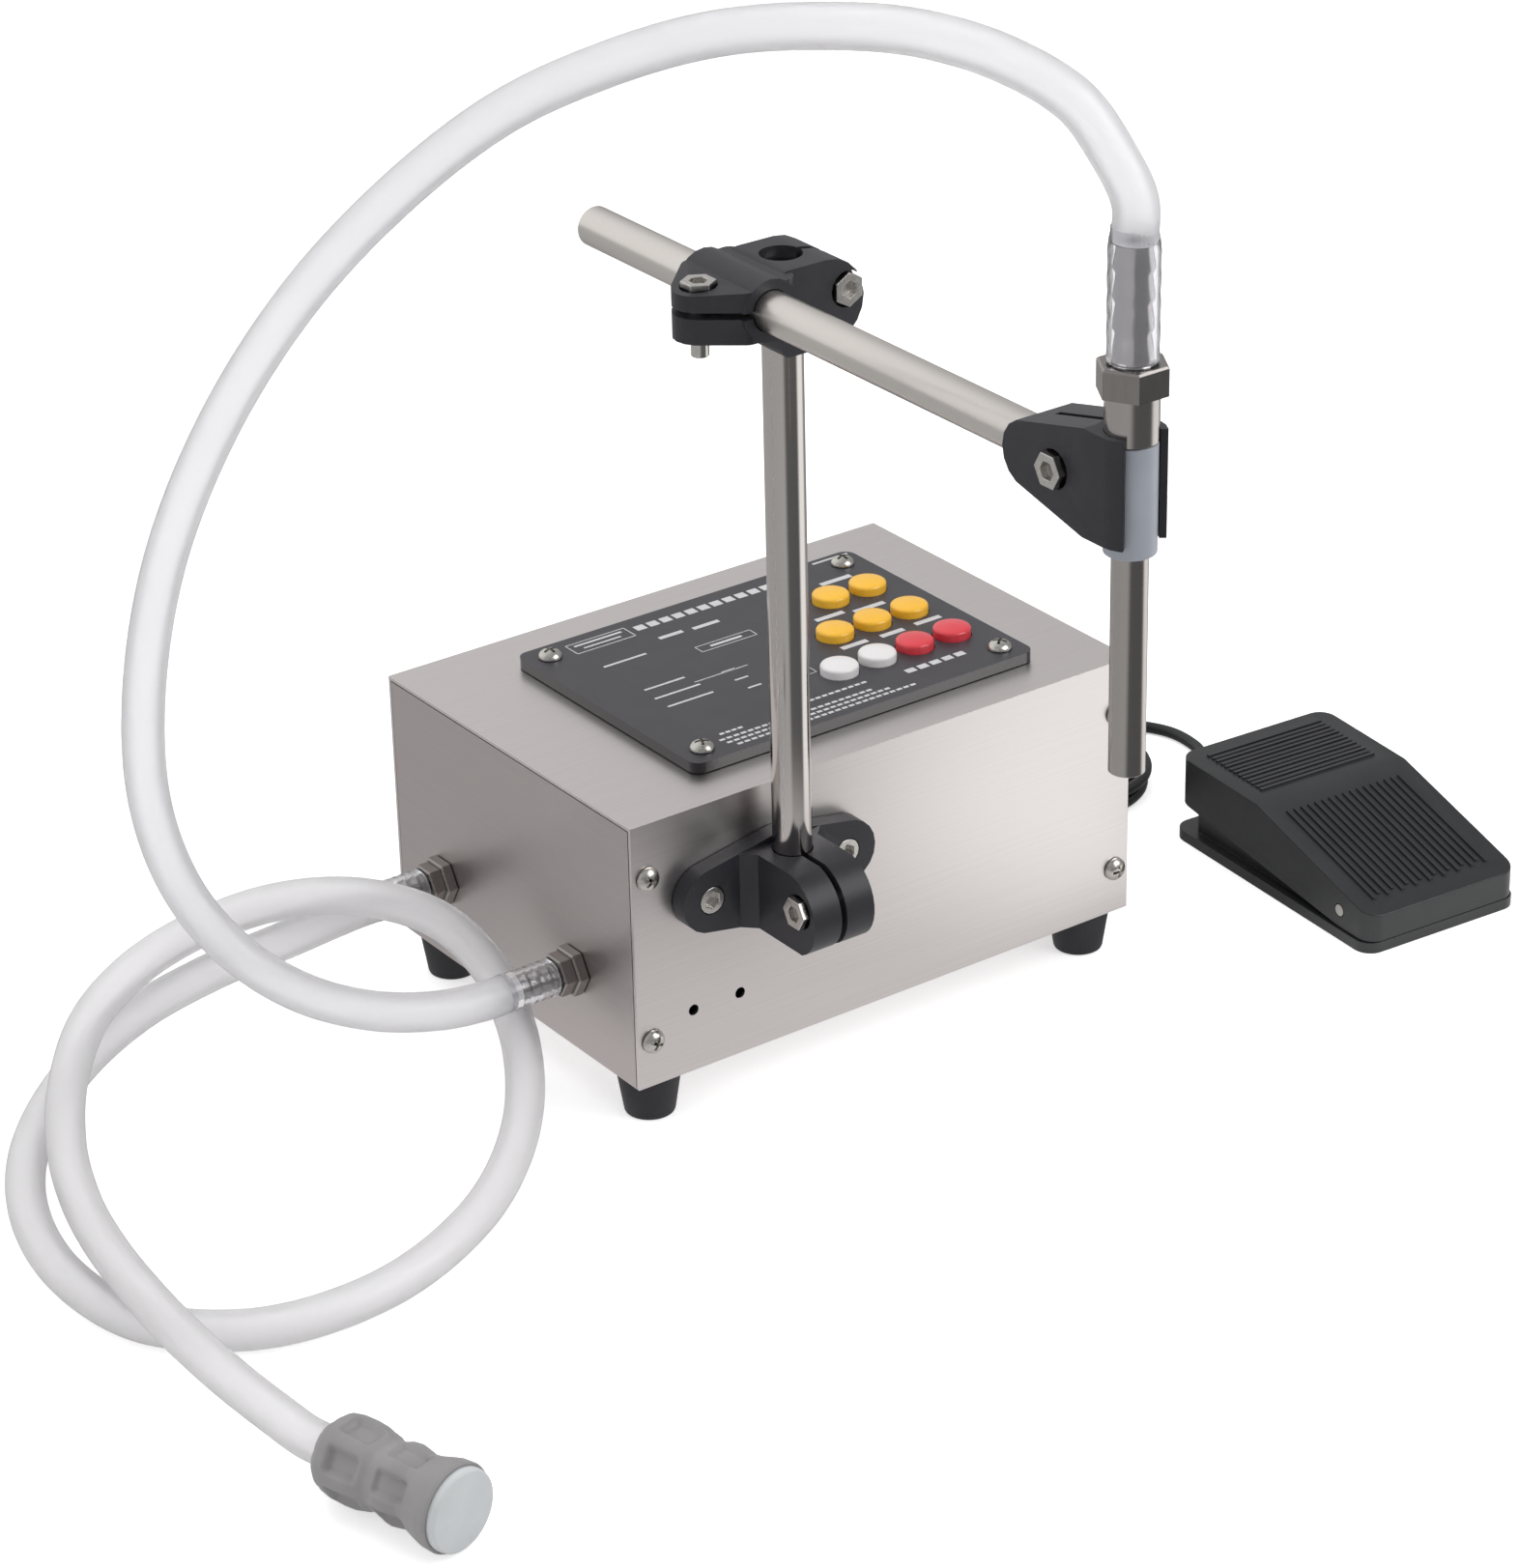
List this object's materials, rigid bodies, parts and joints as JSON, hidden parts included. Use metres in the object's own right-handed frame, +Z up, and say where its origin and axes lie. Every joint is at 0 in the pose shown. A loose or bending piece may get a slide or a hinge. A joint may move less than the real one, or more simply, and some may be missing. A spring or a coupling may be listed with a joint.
{
  "type": "liquid filling machine",
  "caption": "Bench-top liquid filling machine: steel case with keypad, clamped post and arm holding a nozzle, clear hoses, strainer and foot pedal.",
  "frame": {"origin": "on the bench, under the centre of the box round the machine and its pedal without the hoses, strainer and cable", "axes": "+X to the right seen from the front of the case, +Y to the back, +Z up"},
  "size_m": [0.502, 0.3587, 0.3848],
  "materials": {
    "brushed_steel": "brushed stainless sheet",
    "polished_steel": "polished stainless",
    "black_nylon": "moulded, satin",
    "rubber": "matt",
    "black_plastic": "moulded, fine texture",
    "cable_jacket": "smooth black jacket",
    "plate_film": "dark grey film",
    "yellow_plastic": "satin gloss",
    "white_plastic": "satin gloss",
    "red_plastic": "satin gloss",
    "grey_sleeve": "grey-blue, satin",
    "clear_hose": "clear, slightly milky",
    "strainer_plastic": "grey, translucent",
    "board": "circuit board green",
    "cast_aluminium": "cast, matt"
  },
  "bodies": {
    "machine": {"chassis": "brushed_steel", "cover": "brushed_steel", "foot_front_left": "rubber", "foot_back_left": "rubber", "foot_front_right": "rubber", "foot_back_right": "rubber", "cover_screw_left_low": "polished_steel", "cover_screw_left_high": "polished_steel", "cover_screw_right_low": "polished_steel", "cover_screw_right_high": "polished_steel", "keypad_plate": "plate_film", "plate_screw_front_left": "polished_steel", "plate_screw_front_right": "polished_steel", "plate_screw_back_left": "polished_steel", "plate_screw_back_right": "polished_steel", "control_board": "board", "pump_head": "cast_aluminium", "pump_motor": "cast_aluminium", "power_supply": "cast_aluminium", "outlet_fitting": "polished_steel", "suction_fitting": "polished_steel", "power_inlet": "black_plastic", "pedal_gland": "black_plastic", "base_clamp": "black_nylon", "base_clamp_screw_left": "polished_steel", "base_clamp_screw_right": "polished_steel", "base_clamp_bolt": "polished_steel", "pedal_base": "black_plastic", "pedal_pin": "polished_steel", "pedal_switch": "black_plastic", "pedal_spring": "polished_steel", "pedal_relief": "rubber", "strainer": "strainer_plastic", "cable_coil": "cable_jacket", "outlet_hose": "clear_hose", "suction_hose": "clear_hose", "pedal_lead": "cable_jacket", "case_lead": "cable_jacket"},
    "button_front_1": {"button_front_1": "white_plastic"},
    "button_front_2": {"button_front_2": "white_plastic"},
    "button_front_3": {"button_front_3": "red_plastic"},
    "button_front_4": {"button_front_4": "red_plastic"},
    "button_middle_2": {"button_middle_2": "yellow_plastic"},
    "button_middle_3": {"button_middle_3": "yellow_plastic"},
    "button_middle_4": {"button_middle_4": "yellow_plastic"},
    "button_back_3": {"button_back_3": "yellow_plastic"},
    "button_back_4": {"button_back_4": "yellow_plastic"},
    "rocker": {"power_rocker": "black_plastic"},
    "treadle": {"pedal_treadle": "black_plastic"},
    "coupling": {"drive_coupling": "polished_steel"},
    "stand_post": {"post": "polished_steel"},
    "cross_head": {"cross_clamp": "black_nylon", "cross_clamp_arm_bolt": "polished_steel", "cross_clamp_post_bolt": "polished_steel"},
    "cross_arm": {"arm": "polished_steel"},
    "nozzle_holder": {"end_clamp": "black_nylon", "end_clamp_bolt": "polished_steel", "nozzle_sleeve": "grey_sleeve"},
    "nozzle": {"nozzle_pipe": "polished_steel", "nozzle_barb": "polished_steel"}
  },
  "joints": [
    {"name": "button_front_1_press", "type": "slide", "parent": "machine", "child": "button_front_1", "axis": [0, 0, -1], "range_m": [0, 0.0005], "stiffness_N_per_m": 3000},
    {"name": "button_front_2_press", "type": "slide", "parent": "machine", "child": "button_front_2", "axis": [0, 0, -1], "range_m": [0, 0.0005], "stiffness_N_per_m": 3000},
    {"name": "button_front_3_press", "type": "slide", "parent": "machine", "child": "button_front_3", "axis": [0, 0, -1], "range_m": [0, 0.0005], "stiffness_N_per_m": 3000},
    {"name": "button_front_4_press", "type": "slide", "parent": "machine", "child": "button_front_4", "axis": [0, 0, -1], "range_m": [0, 0.0005], "stiffness_N_per_m": 3000},
    {"name": "button_middle_2_press", "type": "slide", "parent": "machine", "child": "button_middle_2", "axis": [0, 0, -1], "range_m": [0, 0.0005], "stiffness_N_per_m": 3000},
    {"name": "button_middle_3_press", "type": "slide", "parent": "machine", "child": "button_middle_3", "axis": [0, 0, -1], "range_m": [0, 0.0005], "stiffness_N_per_m": 3000},
    {"name": "button_middle_4_press", "type": "slide", "parent": "machine", "child": "button_middle_4", "axis": [0, 0, -1], "range_m": [0, 0.0005], "stiffness_N_per_m": 3000},
    {"name": "button_back_3_press", "type": "slide", "parent": "machine", "child": "button_back_3", "axis": [0, 0, -1], "range_m": [0, 0.0005], "stiffness_N_per_m": 3000},
    {"name": "button_back_4_press", "type": "slide", "parent": "machine", "child": "button_back_4", "axis": [0, 0, -1], "range_m": [0, 0.0005], "stiffness_N_per_m": 3000},
    {"name": "power_rocker_switch", "type": "hinge", "parent": "machine", "child": "rocker", "pos_m": [-0.04515, 0.16056, 0.049], "axis": [1, 0, 0], "range_deg": [0, 16]},
    {"name": "treadle_press", "type": "hinge", "parent": "machine", "child": "treadle", "pos_m": [0.10045, -0.01148, 0.01], "axis": [-0.9979, 0.0645, 0], "range_deg": [0, 4], "stiffness_Nm_per_rad": 6, "springref_deg": -1.72, "deforming": ["pedal_spring"]},
    {"name": "pump_shaft_turn", "type": "hinge", "parent": "machine", "child": "coupling", "pos_m": [-0.09565, 0.07376, 0.047], "axis": [1, 0, 0], "continuous": true},
    {"name": "post_turn", "type": "hinge", "parent": "machine", "child": "stand_post", "pos_m": [-0.09715, 0.01326, 0.0636], "axis": [0, 0, 1], "range_deg": [-45, 45], "deforming": ["outlet_hose"]},
    {"name": "cross_height", "type": "slide", "parent": "stand_post", "child": "cross_head", "axis": [0, 0, 1], "range_m": [-0.13, 0], "deforming": ["outlet_hose"]},
    {"name": "arm_slide", "type": "slide", "parent": "cross_head", "child": "cross_arm", "axis": [0, 1, 0], "range_m": [-0.045, 0.105], "deforming": ["outlet_hose"]},
    {"name": "holder_tilt", "type": "hinge", "parent": "cross_arm", "child": "nozzle_holder", "pos_m": [-0.11265, -0.13214, 0.266], "axis": [0, 1, 0], "range_deg": [-45, 45], "deforming": ["outlet_hose"]},
    {"name": "nozzle_lift", "type": "slide", "parent": "nozzle_holder", "child": "nozzle", "axis": [0, 0, 1], "range_m": [0, 0.05], "deforming": ["outlet_hose"]}
  ]
}
